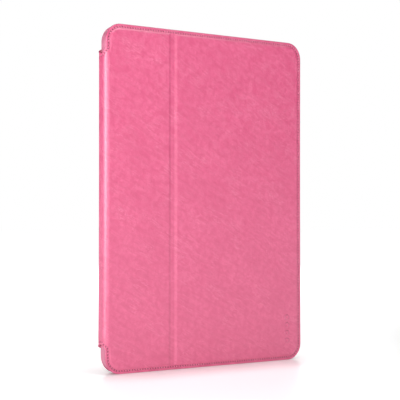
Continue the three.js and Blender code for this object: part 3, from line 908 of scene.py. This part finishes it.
def tray():
    """The tray's nodes joined into one moulding, with its edges eased."""
    names = sorted(n for n in frame["nodes"] if n.startswith("shell_") and n != "shell_tape")
    body = bpy.data.objects.new("tablet_tray", bpy.data.objects[names[0]].data.copy())
    bpy.context.scene.collection.objects.link(body)
    for name in names[1:]:
        join = body.modifiers.new("join", "BOOLEAN")
        join.operation = "UNION"
        join.solver = "EXACT"
        join.object = bpy.data.objects[name]
    bake(body)
    tidy = bmesh.new()
    tidy.from_mesh(body.data)
    bmesh.ops.remove_doubles(tidy, verts=tidy.verts, dist=WELD_DISTANCE)
    bmesh.ops.dissolve_limit(
        tidy, angle_limit=FLAT_ANGLE, verts=tidy.verts, edges=tidy.edges,
        use_dissolve_boundaries=False,
    )
    mark_worn_edges(tidy)
    tidy.to_mesh(body.data)
    tidy.free()
    ease = body.modifiers.new("ease", "BEVEL")
    ease.width = EASE_WIDTH
    ease.segments = 2
    ease.limit_method = "WEIGHT"
    bake(body)
    body.data.shade_smooth()
    body.data.set_sharp_from_angle(angle=math.radians(35))
    return body, names


tablet_tray, tray_nodes = tray()
dress(tablet_tray, plastic, "shell", *tray_nodes)
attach(tablet_tray, "back_case")

# ---- CAD nodes that keep their shape ----
kept = (
    (board_material(), ("flap_board", "strip_board", "back_board", "spine_stiffener")),
    (magnet_material(), ("closure_magnet_lower", "sleep_magnet", "closure_magnet_upper")),
    (tape_material(), ("shell_tape",)),
)
for material, nodes in kept:
    for node in nodes:
        for slot in bpy.data.objects[node].material_slots:
            slot.link = "OBJECT"
            slot.material = material


# ---- Floor, lights and camera ----
def floor():
    """A plain white floor that glows, more towards its far edge so that no horizon shows, and less near
    the case, where ambient occlusion also dims it into a painted contact shadow.
    """
    mesh = bpy.data.meshes.new("floor")
    mesh.from_pydata(
        [(-FLOOR_REACH, -FLOOR_REACH, 0), (FLOOR_REACH, -FLOOR_REACH, 0),
         (FLOOR_REACH, FLOOR_REACH, 0), (-FLOOR_REACH, FLOOR_REACH, 0)],
        [], [(0, 1, 2, 3)])
    obj = bpy.data.objects.new("floor", mesh)
    bpy.context.scene.collection.objects.link(obj)
    sh = Shader("floor_white", Roughness=0.3, Specular_IOR_Level=0.25)
    sh.surface.inputs["Base Color"].default_value = FLOOR_GREY
    sh.surface.inputs["Emission Color"].default_value = WHITE
    away = sh.add("VectorMath", {0: sh.add("TexCoord", out="Object")}, out="Value", operation="LENGTH")
    # Painted contact shadow: the floor's glow is dimmed where the case is close.
    painted_contact_shadow_ao = sh.add("AmbientOcclusion", {"Distance": 0.05}, out="AO")
    glow_with_painted_shadow = sh.math("MULTIPLY", sh.between(away, 0.1, 1.0, 0.5, 0.92), sh.math("POWER", painted_contact_shadow_ao, 2.2))
    sh.links.new(glow_with_painted_shadow, sh.surface.inputs["Emission Strength"])
    mesh.materials.append(sh.material)


def softbox(name, radiance, size, place_at):
    """A rectangular area light that faces the case, as bright per area as its radiance says."""
    light = bpy.data.lights.new(name, "AREA")
    light.shape = "RECTANGLE"
    light.size, light.size_y = size
    light.energy = radiance * math.pi * size[0] * size[1]
    obj = bpy.data.objects.new(name, light)
    obj.location = place_at
    obj.rotation_euler = (Vector(CASE_MIDDLE) - Vector(place_at)).to_track_quat("-Z", "Y").to_euler()
    bpy.context.scene.collection.objects.link(obj)


def around_case(degrees, distance, height):
    """A place round the case: 0 degrees is straight in front, and the spine is towards 90."""
    angle = math.radians(degrees)
    return (-distance * math.sin(angle), -distance * math.cos(angle), height)


floor()
for light_name, radiance, size, where in LIGHTS:
    softbox(light_name, radiance, size, around_case(*where))


def studio():
    """A white room that is bright in front of the case and dim to its left and behind it."""
    world = bpy.data.worlds.new("studio")
    bpy.context.scene.world = world
    world.use_nodes = True
    nodes, links = world.node_tree.nodes, world.node_tree.links
    facing = nodes.new("ShaderNodeVectorMath")
    facing.operation = "DOT_PRODUCT"
    facing.inputs[1].default_value = Vector(ROOM_BRIGHT_WAY).normalized()
    links.new(nodes.new("ShaderNodeTexCoord").outputs["Generated"], facing.inputs[0])
    level = nodes.new("ShaderNodeMapRange")
    level.interpolation_type = "SMOOTHSTEP"
    ends = ("From Min", "From Max", "To Min", "To Max")
    for key, value in zip(ends, ROOM_SPREAD + ROOM_LEVELS):
        level.inputs[key].default_value = value
    links.new(facing.outputs["Value"], level.inputs["Value"])
    room = nodes["Background"]
    room.inputs["Color"].default_value = WHITE
    links.new(level.outputs[0], room.inputs["Strength"])
    seen = nodes.new("ShaderNodeBackground")
    seen.inputs["Color"].default_value = WHITE
    kind = nodes.new("ShaderNodeLightPath")
    choose = nodes.new("ShaderNodeMixShader")
    links.new(kind.outputs["Is Camera Ray"], choose.inputs[0])
    links.new(room.outputs[0], choose.inputs[1])
    links.new(seen.outputs[0], choose.inputs[2])
    links.new(choose.outputs[0], nodes["World Output"].inputs[0])


studio()

camera = bpy.data.objects.new("camera", bpy.data.cameras.new("camera"))
bpy.context.scene.collection.objects.link(camera)
camera.data.lens = CAMERA_LENS
camera.data.sensor_width = 36
camera.data.clip_start = 0.01
yaw, pitch, roll = (math.radians(v) for v in CAMERA_TURN)
camera.matrix_world = (
    Matrix.Translation(CAMERA_PLACE)
    @ Matrix.Rotation(-yaw, 4, "Z")
    @ Matrix.Rotation(math.pi / 2 + pitch, 4, "X")
    @ Matrix.Rotation(roll, 4, "Z")
)
bpy.context.scene.camera = camera
